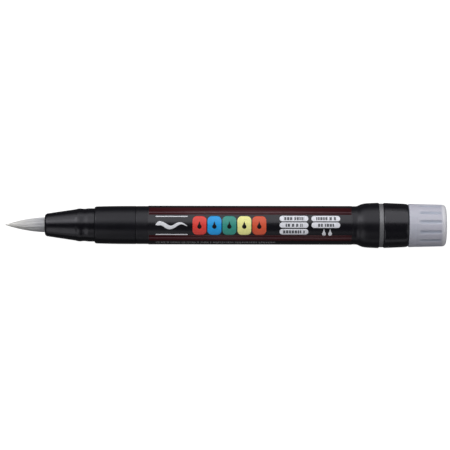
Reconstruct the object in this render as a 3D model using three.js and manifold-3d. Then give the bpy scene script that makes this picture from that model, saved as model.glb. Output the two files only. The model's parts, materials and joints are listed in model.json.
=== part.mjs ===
// A brush-tip paint marker, lying on its side with its cap off.
//
// The brush points to -X and the press button at the tail to +X. The marker is free-ink: paint fills the
// barrel, a sprung valve behind the brush shuts it in, and pressing the tail pushes a long rod forward
// through the paint, which lifts the valve off its seat and lets paint down the feed tube to the bristles.
//
// Units are millimetres, +Z is up, and the origin is on the surface that the marker lies on, under the
// middle of its length. A turned piece is drawn as [station, radius] points: a station is a distance
// along the axis from the brush's tip.

import * as THREE from "three";
import { mergeVertices } from "three/addons/utils/BufferGeometryUtils.js";
import Module from "manifold-3d";

// Driving dimensions: stations along the axis.
const LENGTH = 152;
const MOUTH = 13.8; // where the bristles leave the nozzle
const HOLDER_FACE = 31; // the shoulder that a cap's rim stops against
const BARREL_FACE = 45.35;
const LABEL_START = 49.5;
const LABEL_END = 119.6;
const RIM_FACE = 128.85; // the barrel's rear rim
const COLLAR_FACE = 130.4; // front of the black collar on the tail
const CAP_FACE = 139.1; // front of the pale end cap
const VALVE_SEAT = 46.6;
const TANK_START = 58.4; // the paint fills the barrel from here
const TANK_END = 112; // to here

// Driving dimensions: radii.
const RIM_RADIUS = 7.83; // the widest place, which the marker lies on
const BARREL_RADIUS = 6.55;
const BARREL_BORE = 5.6;
const LABEL_THICKNESS = 0.08;
const NECK_RADIUS = 5.73; // the nozzle just in front of the shoulder
const SPIGOT_RADIUS = 5; // the nozzle inside the front holder
const VALVE_BORE = 4.3;
const FERRULE_BORE = 3.1;
const TUFT_RADIUS = 2.48;
const FEED_RADIUS = 1.2;
const SLEEVE_RADIUS = 7.55;
const PLUG_RADIUS = 6.3; // the sleeve's rear end, which the end cap is pressed on
const SHAFT_RADIUS = 2.2;
const ROD_RADIUS = 0.9;

// The middle of each sealing ring, and the size of a ring's groove.
const NOZZLE_SEAL = 36.25;
const TANK_SEAL = 52.65;
const BUSH_SEAL = 114.85;
const PLUNGER_SEAL = 117.8;
const GROOVE_WIDTH = 1.3;
const GROOVE_DEPTH = 0.7;

// Fits.
const SLIP = 0.06; // radial clearance of a sliding fit
const SNUG = 0.05; // radial clearance left in a pressed fit
const FACE_GAP = 0.1; // clearance between two faces that meet

const SIDES = 24; // faces round a turned piece
const THIN_SIDES = 12; // faces round a slender one

const wasm = await Module();
wasm.setup();

const plastic = (color, roughness) => new THREE.MeshStandardMaterial({ color, roughness, metalness: 0 });
const metal = (color, roughness) => new THREE.MeshStandardMaterial({ color, roughness, metalness: 1 });
const MATERIALS = {
  blackPlastic: plastic(0x1d1c20, 0.42),
  printedFilm: plastic(0x17171c, 0.25),
  greyPlastic: plastic(0x86868c, 0.45),
  palePlastic: plastic(0xb4b6c4, 0.38),
  naturalPlastic: plastic(0xd9d9d4, 0.4),
  bristles: plastic(0xb2b2b2, 0.6),
  rubber: plastic(0x2a2a2c, 0.8),
  steel: metal(0xb8babd, 0.3),
};

// Points of an arc about [station, radius], from one angle to another in degrees.
function arc([station, radius], size, from, to, steps) {
  return Array.from({ length: steps + 1 }, (_, i) => {
    const angle = THREE.MathUtils.degToRad(from + ((to - from) * i) / steps);
    return [station + size * Math.cos(angle), radius + size * Math.sin(angle)];
  });
}

// Points of a smooth curve between two places, which leaves and arrives along its two handles.
function curve(start, startHandle, endHandle, end, steps) {
  const corners = [start, startHandle, endHandle, end].map(([x, y]) => new THREE.Vector2(x, y));
  return new THREE.CubicBezierCurve(...corners).getPoints(steps).map((p) => [p.x, p.y]);
}

// Points of the groove that a sealing ring sits in, going to the rear, from a surface to its floor.
function groove(station, surface, floor) {
  const [front, rear] = [station - GROOVE_WIDTH / 2, station + GROOVE_WIDTH / 2];
  return [
    [front, surface],
    [front, floor],
    [rear, floor],
    [rear, surface],
  ];
}

// A piece turned about the marker's axis from an outline, which starts and ends on the axis or closes
// on itself. The middles of the faceted piece's faces lie on the radius.
function turned(name, material, outline, sides = SIDES) {
  const toCorner = 1 / Math.cos(Math.PI / sides);
  const points = outline.map(([station, radius]) => new THREE.Vector2(radius * toCorner, station));
  if (outline[0][1] > 0) points.push(points[0].clone());
  if (THREE.ShapeUtils.area(points) < 0) points.reverse();
  const mesh = new THREE.Mesh(new THREE.LatheGeometry(points, sides, Math.PI / sides), material);
  mesh.name = name;
  return mesh;
}

// A plain tube between two stations.
function tube(name, material, [start, end], [bore, radius], sides = SIDES) {
  const outline = [
    [start, bore],
    [start, radius],
    [end, radius],
    [end, bore],
  ];
  return turned(name, material, outline, sides);
}

// A soft sealing ring of round section, which fills its groove from the floor to the facing wall.
function sealRing(name, station, floor, wall) {
  const sectionRadius = Math.abs(wall - floor) / 2 - SNUG / 2;
  const section = arc([station, (floor + wall) / 2], sectionRadius, 0, 360, 8).slice(0, -1);
  return turned(name, MATERIALS.rubber, section);
}

// The centre line of a compression spring's wire, with one closed turn at each end.
class CoilPath extends THREE.Curve {
  constructor(radius, wire, start, length, turns) {
    super();
    Object.assign(this, { radius, start, length, turns, closedPitch: wire * 1.12 });
  }

  getPoint(t, target = new THREE.Vector3()) {
    const turn = t * this.turns;
    const openPitch = (this.length - 2 * this.closedPitch) / (this.turns - 2);
    const openTurn = THREE.MathUtils.clamp(turn - 1, 0, this.turns - 2);
    const station = this.start + openPitch * openTurn + this.closedPitch * (turn - openTurn);
    const angle = 2 * Math.PI * turn;
    return target.set(this.radius * Math.sin(angle), station, this.radius * Math.cos(angle));
  }
}

// A compression spring of round wire between two stations.
function spring(name, [start, end], radius, wire, turns) {
  const stepsPerTurn = 16;
  const section = new THREE.Shape();
  section.absarc(0, 0, wire / 2, 0, 2 * Math.PI);
  const geometry = new THREE.ExtrudeGeometry(section, {
    steps: turns * stepsPerTurn,
    curveSegments: 3,
    bevelEnabled: false,
    extrudePath: new CoilPath(radius, wire, start + wire / 2, end - start - wire, turns),
  });
  const mesh = new THREE.Mesh(geometry, MATERIALS.steel);
  mesh.name = name;
  return mesh;
}

// A three.js geometry as a manifold-3d solid, and back.
function solidOf(geometry) {
  const bare = geometry.clone();
  bare.deleteAttribute("normal");
  bare.deleteAttribute("uv");
  const merged = mergeVertices(bare, 1e-4);
  const vertProperties = merged.attributes.position.array;
  const triVerts = new Uint32Array(merged.index.array);
  return new wasm.Manifold(new wasm.Mesh({ numProp: 3, vertProperties, triVerts }));
}

function geometryOf(solid) {
  const { vertProperties, triVerts } = solid.getMesh();
  const geometry = new THREE.BufferGeometry();
  geometry.setAttribute("position", new THREE.BufferAttribute(vertProperties, 3));
  geometry.setIndex(new THREE.BufferAttribute(triVerts, 1));
  return geometry;
}

// ---- The brush ----

// The bristles outside the nozzle, tapered to a point, with a half ball about the place where they flex.
function bristleTuft() {
  const taper = curve([0, 0], [3.2, 1.25], [9.5, TUFT_RADIUS], [MOUTH, TUFT_RADIUS], 9);
  const root = arc([MOUTH, 0], TUFT_RADIUS, 90, 0, 5).slice(1, -1);
  return turned("bristle_tuft", MATERIALS.bristles, [...taper, ...root, [MOUTH + TUFT_RADIUS, 0]]);
}

// The fused roots of the bristles, with the bore that the feed tube runs into.
const bristleRoot = () =>
  tube("bristle_root", MATERIALS.bristles, [17.3, 22.4], [FEED_RADIUS + FACE_GAP, 2.55]);

// The cup that the fused roots are pressed into.
function tuftFerrule() {
  return turned("tuft_ferrule", MATERIALS.naturalPlastic, [
    [16.75, 2.6],
    [16.75, FERRULE_BORE - SLIP],
    [23, FERRULE_BORE - SLIP],
    [23, 1.5],
    [22.5, 1.5],
    [22.5, 2.6],
  ]);
}

// The flanged plug that holds the ferrule in the nozzle.
function ferrulePlug() {
  return turned("ferrule_plug", MATERIALS.naturalPlastic, [
    [23.1, FEED_RADIUS + FACE_GAP],
    [23.1, FERRULE_BORE - SLIP],
    [26.7, FERRULE_BORE - SLIP],
    [26.7, 3.8],
    [27.9, 3.8],
    [27.9, FEED_RADIUS + FACE_GAP],
  ]);
}

// The tube that feeds paint from the valve to the bristles.
const feedTube = () =>
  tube("feed_tube", MATERIALS.naturalPlastic, [18.6, 36.1], [0.6, FEED_RADIUS], THIN_SIDES);

// ---- The front end ----

// The tapered nose, with a shallow waist where a cap's inner seal sits and a spigot for the holder.
function nozzle() {
  const bore = 2.78;
  const noseRadius = 1.05;
  const spigotStart = HOLDER_FACE + 0.3;
  return turned("nozzle", MATERIALS.blackPlastic, [
    [MOUTH + 0.25, bore],
    ...arc([MOUTH + noseRadius, 2.92], noseRadius, 180, 99, 5),
    [24.55, 5.43],
    [25.1, 5.62],
    [25.9, 5.68],
    ...curve([26.3, 5.66], [26.9, 5.53], [27.7, 5.53], [28.5, 5.69], 4),
    [28.9, NECK_RADIUS],
    [spigotStart, NECK_RADIUS],
    [spigotStart, SPIGOT_RADIUS],
    ...groove(NOZZLE_SEAL, SPIGOT_RADIUS, SPIGOT_RADIUS - GROOVE_DEPTH),
    [39.5, SPIGOT_RADIUS],
    [39.5, 3.9],
    [26.6, 3.9],
    [26.6, FERRULE_BORE],
    [16.6, FERRULE_BORE],
    [16.6, bore],
  ]);
}

const nozzleSeal = () =>
  sealRing("nozzle_seal", NOZZLE_SEAL, SPIGOT_RADIUS - GROOVE_DEPTH, SPIGOT_RADIUS + SNUG);

// The sleeve that joins nozzle and barrel. A cap grips its slight taper.
function frontHolder() {
  const mouthBore = NECK_RADIUS + SLIP;
  const socketBore = SPIGOT_RADIUS + SNUG;
  const spigot = BARREL_BORE - SNUG;
  return turned("front_holder", MATERIALS.blackPlastic, [
    [HOLDER_FACE, mouthBore],
    [HOLDER_FACE, 6.1],
    ...curve([HOLDER_FACE + 0.45, 6.38], [35.5, 6.53], [40, 6.58], [BARREL_FACE - 0.2, 6.57], 4),
    [BARREL_FACE - 0.05, 6.5],
    [BARREL_FACE - 0.05, spigot],
    ...groove(TANK_SEAL, spigot, spigot - GROOVE_DEPTH),
    [57, spigot],
    [57, VALVE_BORE],
    [39.8, VALVE_BORE],
    [39.8, socketBore],
    [HOLDER_FACE + 0.4, socketBore],
    [HOLDER_FACE + 0.4, mouthBore],
  ]);
}

const tankSeal = () => sealRing("tank_seal", TANK_SEAL, BARREL_BORE - SNUG - GROOVE_DEPTH, BARREL_BORE);

// ---- The valve ----

// The cage in front of the valve: its web carries the spring, and its hub carries the feed tube.
function springCage() {
  return turned("spring_cage", MATERIALS.naturalPlastic, [
    [33, FEED_RADIUS + FACE_GAP],
    [33, 1.9],
    [36.4, 1.9],
    [36.4, 3.3],
    [34.5, 3.3],
    [34.5, 3.85],
    [39.4, 3.85],
    [39.4, 3.3],
    [37.9, 3.3],
    [37.9, 0.7],
    [36.3, 0.7],
    [36.3, FEED_RADIUS + FACE_GAP],
  ]);
}

const valveSpring = () => spring("valve_spring", [38, 44.8], 2, 0.4, 7);

// The valve's moving part: a pin that guides the spring, the head, and the shaft that the rod pushes.
function valveStem() {
  return turned("valve_stem", MATERIALS.naturalPlastic, [
    [41.2, 0],
    [41.2, 0.9],
    [44.9, 0.9],
    [44.9, 2.6],
    [46, 2.6],
    [46, 1.1],
    [60, 1.1],
    [60, 0],
  ]);
}

const valveWasher = () => tube("valve_washer", MATERIALS.rubber, [46.05, 46.5], [1.15, 2.5]);

// The plug with the valve's seat, whose rear flange closes the front of the tank.
function valveBody() {
  return turned("valve_body", MATERIALS.naturalPlastic, [
    [VALVE_SEAT, 1.6],
    [VALVE_SEAT, 2.3],
    [VALVE_SEAT + 0.6, 2.7],
    [VALVE_SEAT + 0.6, VALVE_BORE - SNUG],
    [57 + FACE_GAP, VALVE_BORE - SNUG],
    [57 + FACE_GAP, BARREL_BORE - FACE_GAP],
    [TANK_START, BARREL_BORE - FACE_GAP],
    [TANK_START, 2.4],
    [57, 1.6],
  ]);
}

// ---- The barrel, which is the paint tank ----

function barrel() {
  const bandRadius = BARREL_RADIUS + 0.05;
  const sleeveBore = SLEEVE_RADIUS + SLIP;
  return turned("barrel", MATERIALS.blackPlastic, [
    [BARREL_FACE, BARREL_BORE],
    [BARREL_FACE, BARREL_RADIUS - 0.06],
    [BARREL_FACE + 0.12, BARREL_RADIUS],
    [LABEL_END + 0.15, BARREL_RADIUS],
    [LABEL_END + 0.15, bandRadius],
    ...curve([120.9, bandRadius], [122, bandRadius], [122.2, 7.55], [125, 7.67], 7),
    [RIM_FACE - 0.2, RIM_RADIUS],
    [RIM_FACE, RIM_RADIUS - 0.1],
    [RIM_FACE, sleeveBore],
    [126.3, sleeveBore],
    [126.3, 6.3],
    [122.5, 6.3],
    [122, BARREL_BORE],
  ]);
}

// The printed film wrapped round the barrel.
function labelFilm() {
  const bore = BARREL_RADIUS + SNUG;
  return tube("label_film", MATERIALS.printedFilm, [LABEL_START, LABEL_END], [bore, bore + LABEL_THICKNESS]);
}

// The loose ball that stirs the paint when the marker is shaken. It has rolled to the tank's front end,
// and lies on the bottom of the bore.
function mixingBall() {
  const radius = 2;
  const mesh = new THREE.Mesh(new THREE.SphereGeometry(radius, 20, 14), MATERIALS.steel);
  mesh.name = "mixing_ball";
  mesh.position.set(0, TANK_START + radius + 0.6, -(BARREL_BORE - radius - 0.15));
  return mesh;
}

// ---- The press mechanism in the tail ----

// The guide that closes the rear of the tank. The plunger's shaft runs through it.
function rearBush() {
  const bore = SHAFT_RADIUS + SLIP;
  const rim = BARREL_BORE - SNUG;
  return turned("rear_bush", MATERIALS.naturalPlastic, [
    [TANK_END, bore],
    [TANK_END, rim],
    ...groove(BUSH_SEAL, rim, rim - GROOVE_DEPTH),
    [121.4, rim],
    [121.4, 4.9],
    [120.4, 4.9],
    [120.4, bore],
    ...groove(PLUNGER_SEAL, bore, bore + GROOVE_DEPTH).reverse(),
  ]);
}

const bushSeal = () => sealRing("bush_seal", BUSH_SEAL, BARREL_BORE - SNUG - GROOVE_DEPTH, BARREL_BORE);

const plungerSeal = () =>
  sealRing("plunger_seal", PLUNGER_SEAL, SHAFT_RADIUS + SLIP + GROOVE_DEPTH, SHAFT_RADIUS);

// The shaft that slides in the guide, with a socket for the rod and a flange for the spring.
function plunger() {
  const socketBore = ROD_RADIUS + SNUG;
  return turned("plunger", MATERIALS.naturalPlastic, [
    [113.5, 0],
    [113.5, socketBore],
    [109.4, socketBore],
    [109.4, SHAFT_RADIUS],
    [110.6, SHAFT_RADIUS],
    [110.6, 1.75],
    [111.95, 1.75],
    [111.95, SHAFT_RADIUS],
    [127.6, SHAFT_RADIUS],
    [127.6, 5.8],
    [129.2, 5.8],
    [129.2, 3],
    [131.5, 3],
    [131.5, 0],
  ]);
}

// The snap ring on the plunger that stops it from being pushed out of the guide.
const plungerStop = () => tube("plunger_stop", MATERIALS.steel, [110.7, 111.85], [1.8, 3.2]);

// The long rod from the plunger to the valve.
function pushRod() {
  const outline = [
    [60.15, 0],
    [60.15, ROD_RADIUS],
    [113.4, ROD_RADIUS],
    [113.4, 0],
  ];
  return turned("push_rod", MATERIALS.naturalPlastic, outline, THIN_SIDES);
}

const knockSpring = () => spring("knock_spring", [120.5, 127.5], 4, 0.6, 6);

// The grey tube that carries the tail. Its front end shows as a ring between rim and collar, and slides
// into the rim when the tail is pressed.
function tailSleeve() {
  const front = RIM_FACE - 0.4;
  const seat = 6.95;
  return turned("tail_sleeve", MATERIALS.greyPlastic, [
    [front, 5.9],
    [front, SLEEVE_RADIUS - 0.1],
    [front + 0.1, SLEEVE_RADIUS],
    [COLLAR_FACE - 0.05, SLEEVE_RADIUS],
    [COLLAR_FACE - 0.05, seat],
    [CAP_FACE - 0.05, seat],
    [CAP_FACE - 0.05, PLUG_RADIUS],
    [146, PLUG_RADIUS],
    [146, 5.5],
    [130.8, 5.5],
    [130.8, 3 + SNUG],
    [129.3, 3 + SNUG],
    [129.3, 5.9],
  ]);
}

// The black ring behind the grey one.
function tailCollar() {
  const bore = 7;
  return turned("tail_collar", MATERIALS.blackPlastic, [
    [COLLAR_FACE, bore],
    [COLLAR_FACE, 7.6],
    [COLLAR_FACE + 0.35, 7.79],
    ...curve([137.4, 7.51], [138.3, 7.46], [138.8, 7.34], [CAP_FACE - 0.15, 7.1], 4),
    [CAP_FACE - 0.15, bore],
  ]);
}

// The pale cap that is pressed with a thumb, with finger flutes round it.
function tailCap() {
  const flute = { count: 13, start: 142.8, end: 150.2, floor: 6.96, radius: 0.75, turn: 9.5 };
  const cup = turned("tail_cap", MATERIALS.palePlastic, [
    [LENGTH, 0],
    ...arc([LENGTH - 1.3, 5.9], 1.3, 0, 87, 4),
    [CAP_FACE + 0.3, 7.46],
    [CAP_FACE, 7.25],
    [CAP_FACE, PLUG_RADIUS + SNUG],
    [146.3, PLUG_RADIUS + SNUG],
    [146.3, 5.7],
    [150.2, 5.7],
    [150.2, 0],
  ]);
  const cutter = new THREE.CylinderGeometry(flute.radius, flute.radius, flute.end - flute.start, 8);
  cutter.translate(0, (flute.start + flute.end) / 2, flute.floor + flute.radius);
  let solid = solidOf(cup.geometry);
  for (let i = 0; i < flute.count; i++) {
    const angle = THREE.MathUtils.degToRad(flute.turn + (360 * i) / flute.count);
    solid = solid.subtract(solidOf(cutter.clone().rotateY(-angle)));
  }
  cup.geometry = geometryOf(solid);
  return cup;
}

// The pieces are drawn upright along +Y, then the whole marker is laid down along +X.
const marker = new THREE.Group();
marker.rotation.z = -Math.PI / 2;
marker.position.set(-LENGTH / 2, 0, RIM_RADIUS);
marker.add(
  bristleTuft(),
  bristleRoot(),
  tuftFerrule(),
  ferrulePlug(),
  feedTube(),
  nozzle(),
  nozzleSeal(),
  frontHolder(),
  tankSeal(),
  springCage(),
  valveSpring(),
  valveStem(),
  valveWasher(),
  valveBody(),
  barrel(),
  labelFilm(),
  mixingBall(),
  rearBush(),
  bushSeal(),
  plungerSeal(),
  plunger(),
  plungerStop(),
  pushRod(),
  knockSpring(),
  tailSleeve(),
  tailCollar(),
  tailCap(),
);

const root = new THREE.Group();
root.add(marker);

export default root;
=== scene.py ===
"""The looks of a brush-tip paint marker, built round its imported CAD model.

The marker lies along X with its brush towards -X, and the printed side of its label faces up. Places
along it are stations, in mm from the tip of the brush. Turned pieces take their outlines from the CAD
nodes and are made again with round surfaces and soft edges.
"""
import json
import math
import random

import bmesh
import bpy
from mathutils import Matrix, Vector

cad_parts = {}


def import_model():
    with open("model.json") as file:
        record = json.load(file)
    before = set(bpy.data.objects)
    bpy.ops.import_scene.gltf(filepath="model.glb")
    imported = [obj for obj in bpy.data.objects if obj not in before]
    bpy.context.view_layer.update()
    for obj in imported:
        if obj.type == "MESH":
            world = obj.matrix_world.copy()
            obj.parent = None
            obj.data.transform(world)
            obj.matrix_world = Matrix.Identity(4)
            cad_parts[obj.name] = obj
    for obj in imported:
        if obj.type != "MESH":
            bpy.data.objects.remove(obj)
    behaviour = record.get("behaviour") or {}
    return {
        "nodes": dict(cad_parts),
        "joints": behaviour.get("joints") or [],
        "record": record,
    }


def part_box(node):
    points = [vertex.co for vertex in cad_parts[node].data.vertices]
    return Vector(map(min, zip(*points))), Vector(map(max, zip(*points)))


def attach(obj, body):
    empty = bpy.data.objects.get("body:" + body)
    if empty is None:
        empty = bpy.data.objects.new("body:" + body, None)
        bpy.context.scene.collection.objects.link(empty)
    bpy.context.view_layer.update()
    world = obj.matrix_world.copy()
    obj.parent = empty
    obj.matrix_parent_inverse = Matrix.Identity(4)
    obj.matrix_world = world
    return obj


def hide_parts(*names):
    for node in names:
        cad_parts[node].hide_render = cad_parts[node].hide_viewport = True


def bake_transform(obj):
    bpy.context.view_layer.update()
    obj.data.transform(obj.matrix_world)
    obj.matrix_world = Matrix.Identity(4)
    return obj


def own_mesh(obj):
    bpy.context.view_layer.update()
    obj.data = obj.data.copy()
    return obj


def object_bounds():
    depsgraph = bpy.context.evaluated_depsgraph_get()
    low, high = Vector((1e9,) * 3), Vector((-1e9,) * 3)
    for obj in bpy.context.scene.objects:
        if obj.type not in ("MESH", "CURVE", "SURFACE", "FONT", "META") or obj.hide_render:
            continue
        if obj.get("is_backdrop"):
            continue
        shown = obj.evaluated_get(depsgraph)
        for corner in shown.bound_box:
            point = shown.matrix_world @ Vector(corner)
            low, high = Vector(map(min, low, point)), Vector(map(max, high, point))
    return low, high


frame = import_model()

CAD_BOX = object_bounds()
MM = 0.001
TIP_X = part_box("bristle_tuft")[0].x
AXIS_Z = sum(corner.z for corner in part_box("barrel")) / 2
BODY_OF = {node: body for body, nodes in frame["record"]["behaviour"]["bodies"].items() for node in nodes}
SLOT_OF = {part["node"]: part["material_slot"] for part in frame["record"]["subparts"]}
TRAVEL = {joint["name"]: joint.get("range_m") for joint in frame["joints"]}

# How many sides a round surface has, outside and inside the marker.
OUTER_SIDES = 144
INNER_SIDES = 72


# ---- Places ----

def station_of(x):
    return (x - TIP_X) / MM


def around(station, radius, angle):
    """A point from its station and radius in mm, and its angle from straight up towards +Y."""
    across = radius * MM * math.sin(angle)
    up = radius * MM * math.cos(angle)
    return Vector((TIP_X + station * MM, across, AXIS_Z + up))


def extent(node):
    """The first and last station of a CAD node, and its outer radius in mm."""
    low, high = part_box(node)
    return station_of(low.x), station_of(high.x), (high.z - low.z) / 2 / MM


CAP_EXTENT = extent("tail_cap")


# ---- Materials ----

class Finish:
    """A material with one Principled shader, and short ways to add nodes to it. Patterns are in mm."""

    def __init__(self, name, colour, roughness, **inputs):
        self.material = bpy.data.materials.new(name)
        self.material.use_nodes = True
        self.tree = self.material.node_tree
        self.shader = self.tree.nodes["Principled BSDF"]
        self.set("Base Color", (*colour, 1))
        self.set("Roughness", roughness)
        for socket, value in inputs.items():
            self.set(socket.replace("_", " "), value)
        self.colour = (*colour, 1)
        self.place = self.node("ShaderNodeTexCoord").outputs["Object"]

    def set(self, socket, value):
        self.shader.inputs[socket].default_value = value

    def node(self, kind, **settings):
        made = self.tree.nodes.new(kind)
        for key, value in settings.items():
            setattr(made, key, value)
        return made

    def link(self, start, end):
        self.tree.links.new(start, end)

    def noise(self, size, stretch=(1, 1, 1), detail=3):
        """A cloudy value round 0.5. Its blobs are about that size, and longer along a stretched axis."""
        mapping = self.node("ShaderNodeMapping")
        mapping.inputs["Scale"].default_value = [1 / (size * MM * s) for s in stretch]
        self.link(self.place, mapping.inputs["Vector"])
        noise = self.node("ShaderNodeTexNoise")
        noise.inputs["Scale"].default_value = 1
        noise.inputs["Detail"].default_value = detail
        noise.inputs["Roughness"].default_value = 0.5
        self.link(mapping.outputs["Vector"], noise.inputs["Vector"])
        return noise.outputs["Fac"]

    def spread(self, value, low, high, start=0.3, end=0.7):
        """The value moved from the range start to end into the range low to high."""
        spread = self.node("ShaderNodeMapRange")
        self.link(value, spread.inputs["Value"])
        for socket, number in zip(("From Min", "From Max", "To Min", "To Max"), (start, end, low, high)):
            spread.inputs[socket].default_value = number
        return spread.outputs["Result"]

    def attribute(self, name):
        return self.node("ShaderNodeAttribute", attribute_name=name).outputs["Fac"]

    def lengthwise(self):
        """How far along X a place is, in metres."""
        split = self.node("ShaderNodeSeparateXYZ")
        self.link(self.place, split.inputs["Vector"])
        return split.outputs["X"]

    def tint(self, value, other, current=None):
        """Turns the base colour into another one as the value goes from 0 to 1."""
        mix = self.node("ShaderNodeMix", data_type="RGBA")
        self.link(value, mix.inputs["Factor"])
        if current:
            self.link(current, mix.inputs["A"])
        else:
            mix.inputs["A"].default_value = self.colour
        mix.inputs["B"].default_value = (*other, 1)
        self.link(mix.outputs["Result"], self.shader.inputs["Base Color"])
        return mix.outputs["Result"]

    def roughen(self, value, low, high):
        """Lets the roughness wander between two values."""
        self.link(self.spread(value, low, high), self.shader.inputs["Roughness"])

    def bump(self, value, depth, under=None):
        """Raises the surface by up to that many mm where the value is high."""
        bump = self.node("ShaderNodeBump")
        bump.inputs["Distance"].default_value = depth * MM
        bump.inputs["Strength"].default_value = 1
        self.link(value, bump.inputs["Height"])
        if under:
            self.link(under, bump.inputs["Normal"])
        self.link(bump.outputs["Normal"], self.shader.inputs["Normal"])
        return bump.outputs["Normal"]


COOL = (0.93, 0.92, 1.0, 1)  # the faintly violet gloss of the black pieces


def scaled(colour, share):
    return tuple(c * share for c in colour)


def black_plastic(name, gloss, gloss_roughness):
    """Black moulding: very fine grain, soft clouds of gloss, and faint handling marks."""
    colour = (0.0024, 0.0022, 0.0038)
    finish = Finish(name, colour, gloss_roughness, Specular_IOR_Level=gloss, Specular_Tint=COOL)
    finish.tint(finish.spread(finish.noise(6), 0, 1), scaled(colour, 1.5))
    finish.roughen(finish.noise(2.2), gloss_roughness - 0.03, gloss_roughness + 0.03)
    waves = finish.bump(finish.noise(5, stretch=(3, 1, 1), detail=1), 0.006)
    finish.bump(finish.noise(0.16, detail=2), 0.0008, waves)
    return finish.material


def film():
    """Glossy black printed film, drawn tight round the barrel."""
    colour = (0.0026, 0.0022, 0.0042)
    finish = Finish("printed_film", colour, 0.28, Specular_IOR_Level=0.46, Specular_Tint=COOL,
                    Coat_Weight=0.2, Coat_Roughness=0.16)
    finish.tint(finish.spread(finish.noise(9), 0, 1), scaled(colour, 1.35))
    finish.roughen(finish.noise(3, stretch=(4, 1, 1)), 0.25, 0.31)
    finish.bump(finish.noise(4, stretch=(5, 1, 1), detail=2), 0.008)
    return finish.material


def grey_plastic():
    """Satin silver-grey moulding with fine metal flake."""
    colour = (0.155, 0.155, 0.165)
    finish = Finish("silver_grey_plastic", colour, 0.42, Metallic=0.35)
    finish.tint(finish.spread(finish.noise(0.08, detail=1), 0, 1), scaled(colour, 1.5))
    finish.roughen(finish.noise(1.5), 0.38, 0.46)
    finish.bump(finish.noise(0.14, detail=2), 0.0012)
    return finish.material


def pale_plastic():
    """Pale silver moulding that lets a little light in, with fine flake and cloudy gloss."""
    colour = (0.525, 0.52, 0.60)
    finish = Finish("pale_silver_plastic", colour, 0.38, Subsurface_Weight=0.45, Subsurface_Scale=2 * MM,
                    Subsurface_Radius=(1, 1, 1))
    flake = finish.spread(finish.noise(0.07, detail=1), 0, 1, 0.45, 0.75)
    cloud = finish.spread(finish.noise(4, stretch=(2, 1, 1)), 0, 0.5)
    end = TIP_X + CAP_EXTENT[1] * MM
    # Painted glow: the end rim is tinted lighter for light that passes through the thick end wall; the same
    # band raises the real subsurface weight.
    rim_glow = finish.spread(finish.lengthwise(), 0, 1, end - 1.9 * MM, end - 1.2 * MM)
    wall = finish.tint(flake, scaled(colour, 1.15))
    wall = finish.tint(cloud, (0.505, 0.53, 0.60), wall)
    # Painted shade: the flutes and the ring line are tinted darker and bluer, as the dark hollow shows
    # through the thin wall.
    wall = finish.tint(finish.attribute("painted_recess_shade"), (0.43, 0.46, 0.55), wall)
    finish.tint(rim_glow, (0.70, 0.70, 0.74), wall)
    finish.link(finish.spread(rim_glow, 0.45, 1, 0, 1), finish.shader.inputs["Subsurface Weight"])
    finish.roughen(finish.noise(1.6), 0.34, 0.42)
    finish.bump(finish.noise(0.18, detail=2), 0.0016)
    return finish.material


def natural_plastic():
    """Uncoloured, milky moulding."""
    colour = (0.66, 0.66, 0.62)
    finish = Finish("natural_plastic", colour, 0.42, Subsurface_Weight=0.3, Subsurface_Scale=0.5 * MM,
                    Subsurface_Radius=(1, 1, 1))
    finish.tint(finish.spread(finish.noise(2.5), 0, 1), (0.58, 0.59, 0.57))
    finish.roughen(finish.noise(1.2), 0.38, 0.48)
    finish.bump(finish.noise(0.2, detail=2), 0.002)
    return finish.material


def rubber():
    """Matte black rubber."""
    colour = (0.018, 0.018, 0.020)
    finish = Finish("soft_rubber", colour, 0.62, Specular_IOR_Level=0.35)
    finish.tint(finish.spread(finish.noise(0.6), 0, 1), scaled(colour, 1.8))
    finish.roughen(finish.noise(0.3), 0.55, 0.70)
    finish.bump(finish.noise(0.08, detail=2), 0.003)
    return finish.material


def steel():
    """Bright steel with fine drawing lines."""
    colour = (0.56, 0.57, 0.58)
    finish = Finish("bright_steel", colour, 0.24, Metallic=1.0)
    finish.tint(finish.spread(finish.noise(0.5), 0, 1), scaled(colour, 0.85))
    finish.roughen(finish.noise(0.3), 0.18, 0.30)
    finish.bump(finish.noise(0.05, stretch=(6, 1, 1), detail=2), 0.0006)
    return finish.material


def bristle(length):
    """Fine filaments in the paint's silver, each of its own shade, paler towards the tip: partly the
    filaments' own pale ends, partly painted light that lifts the shade on the thin tips.
    """
    dark = (0.23, 0.235, 0.25)
    finish = Finish("bristle_filament", dark, 0.46, Specular_IOR_Level=0.45)
    # Paler towards the tip: partly the pale filament ends, partly painted light on the thin, shaded tips.
    tip = finish.spread(finish.lengthwise(), 0.95, 0, TIP_X, TIP_X + 0.75 * length * MM)
    streak = finish.spread(finish.noise(0.5, stretch=(5, 1, 1)), 0, 0.3)
    body = finish.tint(finish.attribute("shade"), (0.70, 0.70, 0.73))
    pale_tip_and_glow = finish.tint(tip, (0.86, 0.84, 0.79), body)
    finish.tint(streak, (0.36, 0.37, 0.40), pale_tip_and_glow)
    finish.roughen(finish.noise(0.4, stretch=(4, 1, 1)), 0.38, 0.55)
    finish.bump(finish.noise(0.05, stretch=(20, 1, 1), detail=2), 0.002)
    return finish.material


def ink(name, colour):
    """Printing ink: slightly uneven colour, with the film's own gloss."""
    finish = Finish(name, colour, 0.34, Specular_IOR_Level=0.36)
    finish.tint(finish.spread(finish.noise(0.7), 0, 1), scaled(colour, 0.88))
    finish.roughen(finish.noise(1.1), 0.30, 0.38)
    finish.bump(finish.noise(0.12, detail=2), 0.001)
    return finish.material


# ---- Shaping ----

def mesh_object(name, points, faces):
    mesh = bpy.data.meshes.new(name)
    mesh.from_pydata([tuple(p) for p in points], [], faces)
    work = bmesh.new()
    work.from_mesh(mesh)
    bmesh.ops.recalc_face_normals(work, faces=work.faces)
    for face in work.faces:
        face.smooth = True
    work.to_mesh(mesh)
    work.free()
    piece = bpy.data.objects.new(name, mesh)
    bpy.context.scene.collection.objects.link(piece)
    return piece


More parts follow.
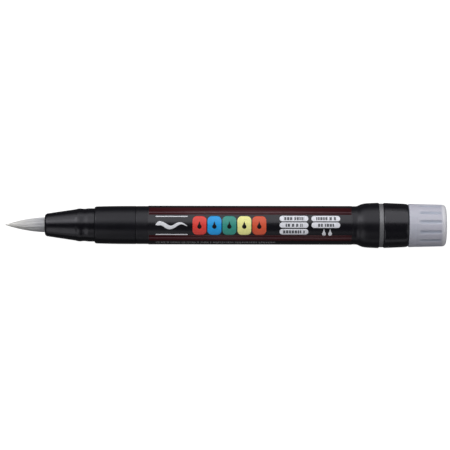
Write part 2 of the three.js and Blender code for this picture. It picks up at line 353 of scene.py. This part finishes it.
def outline_of(node):
    """The half section of a turned CAD node, as (station, radius) points, and whether it is a loop.

    A faceted piece has a line of corners half a facet round from straight up, and that line is its
    outline. The corners stand a little outside the true radius.
    """
    work = bmesh.new()
    work.from_mesh(frame["nodes"][node].data)
    bmesh.ops.remove_doubles(work, verts=work.verts, dist=1e-6)
    reach = {v: math.hypot(v.co.y, v.co.z - AXIS_Z) for v in work.verts}
    angle = {v: math.atan2(v.co.y, v.co.z - AXIS_Z) for v in work.verts if reach[v] > 1e-6}
    corner = min(a for a in angle.values() if a > 1e-3)
    on_line = {v for v in work.verts if v not in angle or abs(angle[v] - corner) < 5e-3}
    links = {v: [e.other_vert(v) for e in v.link_edges if e.other_vert(v) in on_line] for v in on_line}
    ends = [v for v in on_line if v not in angle]
    walk = [min(ends or on_line, key=lambda v: (v.co.x, reach[v]))]
    ahead = links[walk[0]]
    while ahead:
        walk.append(ahead[0])
        ahead = [v for v in links[walk[-1]] if v not in walk]
    sides = round(math.pi / corner)
    points = [(station_of(v.co.x), reach[v] * math.cos(math.pi / sides) / MM) for v in walk]
    work.free()
    return points, not ends


def soften(points, loop, fillet, rounds):
    """Cuts every corner a few times, so that it turns round. A sharp one loses at most the fillet."""
    kept = 0 if loop else 1
    for _ in range(rounds):
        count = len(points)
        made = list(points[:kept])
        for i in range(kept, count - kept):
            here = Vector(points[i])
            before = Vector(points[i - 1]) - here
            after = Vector(points[(i + 1) % count]) - here
            cut = 0.28 * min(before.length, after.length)
            if before.angle(-after, 0) > math.radians(25):
                cut = min(cut, fillet)
            made += [tuple(here + before.normalized() * cut), tuple(here + after.normalized() * cut)]
        points = made + list(points[count - kept:])
    return points


def hold_straights(points, loop, gap):
    """Adds a point near each end of every long straight, so that its shading stays straight."""
    made = []
    for i, point in enumerate(points):
        made.append(point)
        if i == len(points) - 1 and not loop:
            break
        start, end = Vector(point), Vector(points[(i + 1) % len(points)])
        if (end - start).length > 4 * gap:
            step = (end - start).normalized() * gap
            made += [tuple(start + step), tuple(end - step)]
    return made


def revolve(name, points, loop, sides, relief=None):
    """A piece turned about the marker's axis. relief(station, radius, angle) gives its own radius there."""
    corners, faces, rings = [], [], []
    for station, radius in points:
        rings.append(range(len(corners), len(corners) + (sides if radius > 1e-4 else 1)))
        for k in range(len(rings[-1])):
            angle = 2 * math.pi * k / sides
            corners.append(around(station, relief(station, radius, angle) if relief else radius, angle))
    pairs = list(zip(rings, rings[1:]))
    if loop:
        pairs.append((rings[-1], rings[0]))
    for a, b in pairs:
        for k in range(sides):
            n = (k + 1) % sides
            face = [a[k % len(a)], a[n % len(a)], b[n % len(b)], b[k % len(b)]]
            faces.append(list(dict.fromkeys(face)))
    return mesh_object(name, corners, faces)


def finish_piece(piece, material, body, slot, *nodes):
    """Gives a piece its material and body, and hides the CAD nodes that it stands for. Its slot is not
    used.
    """
    piece.data.materials.clear()
    piece.data.materials.append(material)
    if body:
        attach(piece, body)
    if nodes:
        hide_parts(*nodes)
    return piece


def stand_for(node, piece, material):
    return finish_piece(piece, material, BODY_OF[node], SLOT_OF[node], node)


def turned(node, material, sides=OUTER_SIDES, fillet=0.12, rounds=2):
    """A turned CAD node made again with a round surface."""
    points, loop = outline_of(node)
    points = hold_straights(soften(points, loop, fillet, rounds), loop, fillet)
    return stand_for(node, revolve(node + "_round", points, loop, sides), material)


# ---- Tail cap ----

FLUTES = 13
FIRST_FLUTE = math.radians(9.5)
FLUTE_DEPTH = 0.32  # below the wall
FLUTE_TOOL = 1.1  # radius of the round tool that cuts a flute
FLUTE_FROM_FACE = 3.6
FLUTE_FROM_END = 1.8
FLUTE_EDGE = 0.06  # how soft the edge of a flute is
FLUTED_BAND = 1.3  # the flutes leave alone what lies deeper than this below the widest place
CAP_DRAFT = 0.022  # about how fast the wall narrows towards the end
CAP_BORE = 6.35
CAP_BORE_DEPTH = 7.2
CAP_SEAT = 5.7  # radius of the hollow beyond the bore
CAP_END_WALL = 1.8
END_CORNER = 1.3
END_FACE_RADIUS = 5.9


def tail_cap_wall():
    """The cap's outer section, from the middle of its end to its front: round corner and drafted wall."""
    front, end, radius = CAP_EXTENT
    points = [(end, 0)]
    for degrees in range(0, 88, 6):
        a = math.radians(degrees)
        points.append((end - END_CORNER * (1 - math.cos(a)), END_FACE_RADIUS + END_CORNER * math.sin(a)))
    wall_start, wall_end = (front + 0.3, radius), points[-1]
    steps = 44
    for i in range(1, steps + 1):
        share = 1 - i / (steps + 1)
        station = wall_start[0] + share * (wall_end[0] - wall_start[0])
        wall = wall_start[1] + share * (wall_end[1] - wall_start[1])
        points.append((station, wall - ring_line(station - front)))
    return points + [wall_start, (front + 0.08, radius - 0.06)]


def tail_cap_bore():
    """The cap's inner section, from its front to the middle: a blind bore and a narrower hollow."""
    front, end, radius = CAP_EXTENT
    shoulder, floor_station = front + CAP_BORE_DEPTH, end - CAP_END_WALL
    return [(front, radius - 0.21), (front, CAP_BORE), (shoulder, CAP_BORE), (shoulder, CAP_SEAT),
            (floor_station, CAP_SEAT), (floor_station, 0)]


def ring_line(from_face):
    """The depth of the fine line that runs round the cap a little behind its front face."""
    middle, half_width, depth = 2.45, 0.28, 0.06
    return depth * max(0.0, 1 - abs(from_face - middle) / half_width)


def smooth_step(value, start, end):
    """0 before the start and 1 after the end, with an even S between them."""
    t = min(1.0, max(0.0, (value - start) / (end - start)))
    return t * t * (3 - 2 * t)


def fluted(station, radius, angle):
    """The cap's radius with its flutes, which the round tool cuts with soft edges and run-out ends."""
    front, end, widest = CAP_EXTENT
    if radius < widest - FLUTED_BAND:
        return radius
    pitch = 2 * math.pi / FLUTES
    across = (angle - FIRST_FLUTE + pitch / 2) % pitch - pitch / 2
    centre = radius - FLUTE_DEPTH + FLUTE_TOOL
    reach = FLUTE_TOOL ** 2 - (centre * math.sin(across)) ** 2
    if reach <= 0:
        return radius
    floor = centre * math.cos(across) - math.sqrt(reach)
    ramp = smooth_step(station, front + FLUTE_FROM_FACE - 0.9, front + FLUTE_FROM_FACE + 0.9)
    ramp *= 1 - smooth_step(station, end - FLUTE_FROM_END - 0.5, end - FLUTE_FROM_END + 0.3)
    depth = max(0.0, radius - floor) * ramp
    return radius - (math.hypot(depth, FLUTE_EDGE) - FLUTE_EDGE)


def tail_cap(material):
    """The cap, with each place marked by how far it lies below the plain drafted wall; the mark paints
    shade into its flutes and fine ring line.
    """
    points = tail_cap_wall() + soften(tail_cap_bore(), False, 0.1, 2)
    piece = revolve("tail_cap_round", points, False, 360, fluted)
    front, _, widest = CAP_EXTENT
    painted_recess_shade = []
    for v in piece.data.vertices:
        radius = math.hypot(v.co.y, v.co.z - AXIS_Z) / MM
        below = widest - CAP_DRAFT * (station_of(v.co.x) - front) - radius
        painted_recess_shade.append(smooth_step(below, 0.01, 0.2) if below < 0.7 else 0.0)
    piece.data.attributes.new("painted_recess_shade", "FLOAT", "POINT").data.foreach_set("value", painted_recess_shade)
    return stand_for("tail_cap", piece, material)


# ---- Brush ----

TIP_PULL = (3.2, 1.25)  # the control point near the tip of the tuft's curved side
MOUTH_PULL = 9.5  # the station of the other one, which has the tuft's full radius
FILAMENTS = 460
STRAY_SHARE = 0.03  # the share of filaments that stand a little outside the tuft
CORE_SHARE = 0.92  # the core's radius beside the tuft's
CORE_TIP = 0.5


def tuft_radius(station, length, radius):
    """The tuft's radius: a soft point that swells to the mouth of the nozzle and then runs straight."""
    if station >= length:
        return radius
    low, high = 0.0, 1.0
    for _ in range(24):
        t = (low + high) / 2
        u = 1 - t
        reached = 3 * u * u * t * TIP_PULL[0] + 3 * u * t * t * MOUTH_PULL + t ** 3 * length
        low, high = (t, high) if reached < station else (low, t)
    return 3 * u * u * t * TIP_PULL[1] + 3 * u * t * t * radius + t ** 3 * radius


def filament(rng, start, length, radius, root):
    """One tapered filament, as its corners and faces. start is the number of its first corner."""
    sides, steps = 6, 15
    tip = 0.02 + 6.5 * rng.random() ** 1.7
    home = rng.uniform(0.90, 0.995) if rng.random() > STRAY_SHARE else rng.uniform(1.0, 1.05)
    angle = rng.uniform(0, 2 * math.pi)
    drift = rng.gauss(0, 0.10)
    wave, phase = rng.uniform(0, 0.035), rng.uniform(0, 2 * math.pi)
    thickness = rng.uniform(0.055, 0.085)
    corners = [around(tip, home * tuft_radius(tip, length, radius), angle + drift)]
    for i in range(1, steps + 1):
        share = (i / steps) ** 1.5
        station = tip + share * (root - tip)
        off = home * (tuft_radius(station, length, radius) - thickness)
        turn = angle + drift * (1 - share) + wave * math.sin(phase + 7 * share)
        centre = around(station, max(off, 0.0), turn)
        width = thickness * MM * min(1.0, 0.25 + 0.75 * ((station - tip) / 4) ** 0.8)
        for k in range(sides):
            a = 2 * math.pi * k / sides
            corners.append(centre + Vector((0, width * math.sin(a), width * math.cos(a))))
    corners.append(around(root, home * (radius - thickness), angle))
    faces = []
    for k in range(sides):
        n = (k + 1) % sides
        faces.append([start, start + 1 + n, start + 1 + k])
        for i in range(steps - 1):
            a = start + 1 + i * sides
            faces.append([a + k, a + n, a + sides + n, a + sides + k])
        last = start + 1 + (steps - 1) * sides
        faces.append([last + k, last + n, start + len(corners) - 1])
    return corners, faces


def bristle_tuft(material):
    """Several hundred filaments laid close on a core."""
    _, mouth, radius = extent("bristle_tuft")
    mouth -= radius  # the CAD tuft's root is a half ball behind the mouth
    root = extent("bristle_root")[0] - 0.1
    rng = random.Random(11)
    core_steps = 26
    core = [(CORE_TIP, 0)]
    for i in range(1, core_steps + 1):
        station = CORE_TIP + (root - CORE_TIP) * (i / core_steps) ** 1.4
        core.append((station, CORE_SHARE * tuft_radius(station, mouth, radius) - 0.02))
    core.append((root, 0))
    inner = revolve("bristle_core", core, False, 48)
    corners = [v.co.copy() for v in inner.data.vertices]
    faces = [list(p.vertices) for p in inner.data.polygons]
    # The core takes a low shade value and so is darker than the filaments: painted shade of the tuft's
    # depths between them.
    tones_and_core_shade = [0.1] * len(corners)
    bpy.data.objects.remove(inner)
    for _ in range(FILAMENTS):
        more, more_faces = filament(rng, len(corners), mouth, radius, root)
        corners += more
        faces += more_faces
        tones_and_core_shade += [min(1.0, max(0.0, rng.gauss(0.62, 0.2)))] * len(more)
    piece = mesh_object("bristles", corners, faces)
    attribute = piece.data.attributes.new("shade", "FLOAT", "POINT")
    attribute.data.foreach_set("value", tones_and_core_shade)
    finish_piece(piece, material, None, SLOT_OF["bristle_tuft"], "bristle_tuft")
    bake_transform(piece)
    return piece


# ---- Springs and ball ----

def coil(node, wire, turns, joint, material):
    """A compression spring of round wire with closed ends."""
    start, end, outer = extent(node)
    radius = outer - wire / 2
    around_wire, steps_per_turn = 12, 40
    closed_pitch = 1.12 * wire
    length = end - start - wire
    open_pitch = (length - 2 * closed_pitch) / (turns - 2)
    corners, faces = [], []
    steps = turns * steps_per_turn
    for i in range(steps + 1):
        turn = i / steps_per_turn
        along = closed_pitch * min(turn, 1) + open_pitch * min(max(turn - 1, 0), turns - 2)
        along += closed_pitch * max(turn - (turns - 1), 0)
        angle = 2 * math.pi * turn
        for k in range(around_wire):
            a = 2 * math.pi * k / around_wire
            station = start + wire / 2 + along + wire / 2 * math.sin(a)
            corners.append(around(station, radius + wire / 2 * math.cos(a), angle))
    for i in range(steps):
        for k in range(around_wire):
            a, b = i * around_wire, (i + 1) * around_wire
            n = (k + 1) % around_wire
            faces.append([a + k, a + n, b + n, b + k])
    faces.append(list(range(around_wire)))
    faces.append(list(range(steps * around_wire, (steps + 1) * around_wire)))
    piece = stand_for(node, mesh_object(node + "_wire", corners, faces), material)
    free = (end - start) * MM
    keep = (free - max(TRAVEL[joint])) / free
    tuple(around(start, 0, 0))
    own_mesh(piece)
    return piece


def mixing_ball(material):
    """The ball, made of rings that end in a small flat disc at each pole."""
    low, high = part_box("mixing_ball")
    centre, radius = (low + high) / 2, (high.x - low.x) / 2
    sides, rings = 48, 32
    flat = math.radians(3)
    points = [(-math.cos(flat), 0)]
    for i in range(rings + 1):
        a = flat + i * (math.pi - 2 * flat) / rings
        points.append((-math.cos(a), math.sin(a)))
    points.append((math.cos(flat), 0))
    piece = revolve("mixing_ball_round", points, False, sides)
    for v in piece.data.vertices:
        local = (v.co - around(0, 0, 0)) / MM
        v.co = centre + local * radius
    return stand_for("mixing_ball", piece, material)


# ---- Print on the label ----

class Print:
    """Flat shapes of one ink on the film. A shape is a row of (station, low, high) columns. Its heights
    are how far from the label's middle line it looks from above. All of it is in mm."""

    SUNK = 0.02  # how far a shape reaches below the film's surface

    def __init__(self, name, colour, thick=0.012):
        self.name = name
        self.colour = colour
        self.thick = thick
        self.film = extent("label_film")[2]
        self.corners = []
        self.faces = []

    def place(self, station, height, lift):
        return around(station, self.film + lift, math.asin(height / self.film))

    def shape(self, columns):
        """A closed sliver, with rows fine enough to follow the film round the barrel."""
        tall = max(high - low for _, low, high in columns)
        rows = max(2, math.ceil(tall / 0.3))
        start = len(self.corners)
        for lift in (self.thick, -self.SUNK):
            for station, low, high in columns:
                for j in range(rows + 1):
                    self.corners.append(self.place(station, low + (high - low) * j / rows, lift))
        wide, per = len(columns), rows + 1
        under = start + wide * per

        def quad(i, j, base):
            a = base + i * per + j
            return [a, a + 1, a + per + 1, a + per]

        for i in range(wide - 1):
            for j in range(rows):
                self.faces += [quad(i, j, start), quad(i, j, under)]
        edge = [i * per for i in range(wide)]
        edge += [(wide - 1) * per + j for j in range(1, per)]
        edge += [i * per + rows for i in reversed(range(wide - 1))]
        edge += [j for j in reversed(range(1, rows))]
        for a, b in zip(edge, edge[1:] + edge[:1]):
            self.faces.append([start + a, start + b, under + b, under + a])

    def bar(self, start, end, low, high):
        self.shape([(start, low, high), (end, low, high)])

    def rounded(self, start, end, low, high, corner):
        """A bar with round corners."""
        columns = []
        for i in range(9):
            a = math.radians(90 * i / 8)
            inset, drop = corner * (1 - math.sin(a)), corner * (1 - math.cos(a))
            columns.append((start + drop, low + inset, high - inset))
        columns += [(start + end - s, a, b) for s, a, b in reversed(columns)]
        self.shape([(s, a, max(b, a + 0.01)) for s, a, b in columns])

    def drop(self, station, height, width, tall):
        """A drop with its point up."""
        radius = width / 2
        columns = []
        for i in range(25):
            x = -math.cos(math.pi * i / 24)
            bowl = radius * math.sqrt(max(0.0, 1 - x * x))
            shoulder = tall * (1 - abs(x)) ** 1.3
            columns.append((station + radius * x, height - bowl, height + max(bowl, shoulder) + 0.01))
        self.shape(columns)

    def stroke(self, start, end, height, thick, sway):
        """A stroke of a loaded brush: it starts full, swings up and down, and runs out to a point."""
        columns = []
        for i in range(49):
            t = i / 48
            middle = height + sway * math.sin(2 * math.pi * (1.5 * t + 0.06))
            press = math.sin(math.pi * min(1.0, 7 * t + 0.12) / 2) * (1 - t ** 2.2) ** 0.8 + 0.03
            press *= 1 + 0.12 * math.cos(6 * math.pi * t)
            half = thick / 2 * press
            columns.append((start + t * (end - start), middle - half, middle + half))
        self.shape(columns)

    def finish(self):
        piece = mesh_object(self.name, self.corners, self.faces)
        coating = ink(self.name + "_ink", self.colour)
        return finish_piece(piece, coating, BODY_OF["label_film"], SLOT_OF["label_film"])


def dashes(rng, start, end, widths, gap):
    """Short lengths with gaps, as lines of small print look from afar."""
    at = start
    while at < end:
        width = min(rng.uniform(*widths), end - at)
        yield at, at + width
        at += width + gap * (3 if rng.random() < 0.18 else 1)


OVERPRINT = 0.02  # thickness of ink that lies on other ink, in mm
WHITE = (0.80, 0.81, 0.86)
SILVER = (0.84, 0.85, 0.92)
PATCH_COLOURS = [
    ("red", (0.80, 0.065, 0.052)),
    ("blue", (0.022, 0.375, 0.86)),
    ("green", (0.048, 0.32, 0.265)),
    ("yellow", (0.97, 0.95, 0.37)),
    ("orange", (0.74, 0.11, 0.05)),
]


def pinstripes(front):
    """Four dark red stripes along the label, and a fine rose line on each side."""
    stripes = Print("pinstripes_dark_red", (0.050, 0.005, 0.008))
    lines = Print("pinstripes_rose", (0.13, 0.058, 0.068))
    run = (front + 0.3, front + 69.8)
    for low, high in ((4.6, 6.05), (3.6, 4.15), (-4.2, -3.45), (-5.35, -4.6)):
        stripes.bar(*run, low, high)
    for height in (4.37, -4.4):
        lines.bar(*run, height - 0.15, height + 0.15)
    return [stripes, lines]


def white_signs(front):
    """A brush stroke between two rules, and a pair of drops under the name plates."""
    white = Print("brush_sign_white", WHITE)
    for height in (2.97, -3.24):
        white.rounded(front + 2.6, front + 13.6, height - 0.17, height + 0.17, 0.16)
    white.stroke(front + 2.7, front + 13.5, -0.1, 1.55, 0.72)
    for station in (60.3, 62.4):
        white.drop(front + station, -2.95, 1.3, 1.75)
    return white


def colour_patches(front):
    """A row of rounded patches, and the black drop on each."""
    pitch, width = 5.12, 4.75
    patches = []
    drops = Print("patch_drops_black", (0.006, 0.006, 0.008), OVERPRINT)
    for i, (name, colour) in enumerate(PATCH_COLOURS):
        start = front + 15.3 + i * pitch
        patch = Print("colour_patch_" + name, colour)
        patch.rounded(start, start + width, -3.35, 3.1, 1.5)
        patches.append(patch)
        drops.drop(start + 2.35, -0.5, 1.5, 1.9)
    return patches, drops


def name_plates(front, rng):
    """Two columns of blank rounded plates, each with a broken grey rule across its middle."""
    plates = Print("name_plates_silver", SILVER)
    rules = Print("name_plate_rules_grey", (0.105, 0.11, 0.125), OVERPRINT)
    width, height, pitch = 9.85, 1.92, 2.27
    for start, rows in ((front + 45.1, 3), (front + 56.0, 2)):
        for row in range(rows):
            top = 3.25 - row * pitch
            plates.rounded(start, start + width, top - height, top, 0.95)
            middle = top - height / 2
            half = rng.uniform(2.7, 3.8)
            for a, b in dashes(rng, start + 5 - half, start + 5 + half, (0.4, 0.8), 0.24):
                rules.bar(a, b, middle - 0.52, middle + 0.52)
    return [plates, rules]


def small_print(front, rng):
    """A line of fine dashes along the lower edge of the label."""
    small = Print("small_print_grey", (0.20, 0.20, 0.21))
    for a, b in dashes(rng, front + 2.6, front + 43.7, (0.25, 0.8), 0.16):
        small.bar(a, b, -6.15, -5.7)
    return small


def label_print():
    """All that is printed on the label. None of it is lettering."""
    front = extent("label_film")[0]
    rng = random.Random(5)
    patches, drops = colour_patches(front)
    plates_and_rules = name_plates(front, rng)
    small = small_print(front, rng)
    for part in (*patches, *pinstripes(front), white_signs(front), drops, *plates_and_rules, small):
        part.finish()


# ---- Studio ----

def softbox(name, angles, distance, size, radiance):
    """A soft light that faces the marker's middle. Its angles are from straight up, in degrees: first
    along the marker towards +X, and then across it towards +Y."""
    light = bpy.data.lights.new(name, "AREA")
    light.shape = "RECTANGLE"
    light.size, light.size_y = size
    light.energy = radiance * math.pi * size[0] * size[1]
    lamp = bpy.data.objects.new(name, light)
    along, across = (math.tan(math.radians(a)) for a in angles)
    direction = Vector((along, across, 1)).normalized()
    lamp.location = Vector((0, 0, AXIS_Z)) + direction * distance
    lamp.rotation_mode = "QUATERNION"
    lamp.rotation_quaternion = direction.to_track_quat("Z", "Y")
    lamp.visible_camera = False
    bpy.context.scene.collection.objects.link(lamp)


def world(level):
    """A faint, even and slightly cool light from all round."""
    made = bpy.data.worlds.new("studio")
    made.use_nodes = True
    made.node_tree.nodes["Background"].inputs["Color"].default_value = (level, level, level * 1.04, 1)
    bpy.context.scene.world = made


def floor():
    """A plain pale floor that curves up into walls, and only shows itself: it throws no light back."""
    flat, bend, wall, sides = 1.3, 0.6, 2.4, 96
    outline = [(0.02, 0.0), (flat, 0.0)]
    for i in range(1, 13):
        a = math.radians(90 * i / 12)
        outline.append((flat + bend * math.sin(a), bend * (1 - math.cos(a))))
    outline.append((flat + bend, wall))
    corners, faces = [(0, 0, 0)], [[0, 1 + k, 1 + (k + 1) % sides] for k in range(sides)]
    for out, up in outline:
        for k in range(sides):
            a = 2 * math.pi * k / sides
            corners.append((out * math.cos(a), out * math.sin(a), up))
    for i in range(len(outline) - 1):
        for k in range(sides):
            n = (k + 1) % sides
            a, b = 1 + i * sides, 1 + (i + 1) * sides
            faces.append([a + k, a + n, b + n, b + k])
    piece = mesh_object("floor", corners, faces)
    finish = Finish("floor_paint", (0.22, 0.22, 0.22), 0.9, Specular_IOR_Level=0.0)
    finish.set("Emission Color", (1, 1, 1, 1))
    finish.set("Emission Strength", 0.97)
    finish.tint(finish.spread(finish.noise(300), 0, 1), (0.21, 0.21, 0.21))
    piece.data.materials.append(finish.material)
    piece.visible_glossy = False
    piece.visible_diffuse = False
    piece.visible_transmission = False
    piece.visible_shadow = False
    piece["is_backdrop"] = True


def camera():
    """A long lens straight above the marker, with +X to the right."""
    lens, sensor = 200, 36
    view_width = 0.15525
    data = bpy.data.cameras.new("camera")
    data.lens = lens
    data.sensor_width = sensor
    made = bpy.data.objects.new("camera", data)
    made.location = around(75.9, 0, 0) + Vector((0, 0.06 * MM, view_width * lens / sensor))
    made.rotation_euler = (0, 0, math.radians(0.1))
    data.clip_start = 0.01
    data.clip_end = 10
    bpy.context.scene.collection.objects.link(made)
    bpy.context.scene.camera = made


def studio():
    softbox("key_light", (0, 47), 0.5, (1.5, 0.64), 1.4)
    softbox("fill_light", (-38, -50), 0.6, (0.7, 0.58), 0.33)
    softbox("low_front_light", (0, -86), 0.6, (1.5, 0.16), 0.4)
    softbox("low_back_light", (0, 86), 0.6, (1.5, 0.2), 0.5)
    softbox("brush_end_light", (-34, 42), 0.47, (0.22, 0.34), 0.6)
    softbox("brush_end_fill", (-34, -51), 0.58, (0.22, 0.4), 0.8)
    softbox("nose_light", (-48, 43), 0.5, (0.18, 0.3), 1.6)
    softbox("tail_end_light", (66, -40), 0.6, (0.5, 0.7), 0.55)
    world(0.06)
    floor()
    camera()
    bpy.context.scene.view_settings.view_transform = "Standard"


# ---- The marker ----

def outside():
    turned("front_holder", black_plastic("satin_black_plastic", 0.34, 0.32))
    turned("barrel", black_plastic("semi_gloss_black_plastic", 0.42, 0.33))
    turned("nozzle", black_plastic("glossy_black_plastic", 0.45, 0.22))
    turned("tail_collar", black_plastic("polished_black_plastic", 0.60, 0.24))
    turned("label_film", film(), fillet=0.03)
    turned("tail_sleeve", grey_plastic())
    tail_cap(pale_plastic())
    label_print()


def inside():
    for slot, material in (("natural_plastic", natural_plastic()), ("rubber", rubber())):
        for node in [node for node, its_slot in SLOT_OF.items() if its_slot == slot]:
            turned(node, material, INNER_SIDES, 0.06)
    bright = steel()
    turned("plunger_stop", bright, INNER_SIDES, 0.05)
    coil("valve_spring", 0.4, 7, "valve_slide", bright)
    coil("knock_spring", 0.6, 6, "knock_slide", bright)
    mixing_ball(bright)


def brush():
    filaments = bristle(extent("bristle_tuft")[1])
    bristle_tuft(filaments)
    turned("bristle_root", filaments, INNER_SIDES, 0.1)


outside()
inside()
brush()
studio()

visual_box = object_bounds()
boxes = {"cad": CAD_BOX, "visual": visual_box}
{name: [list(corner) for corner in box] for name, box in boxes.items()}
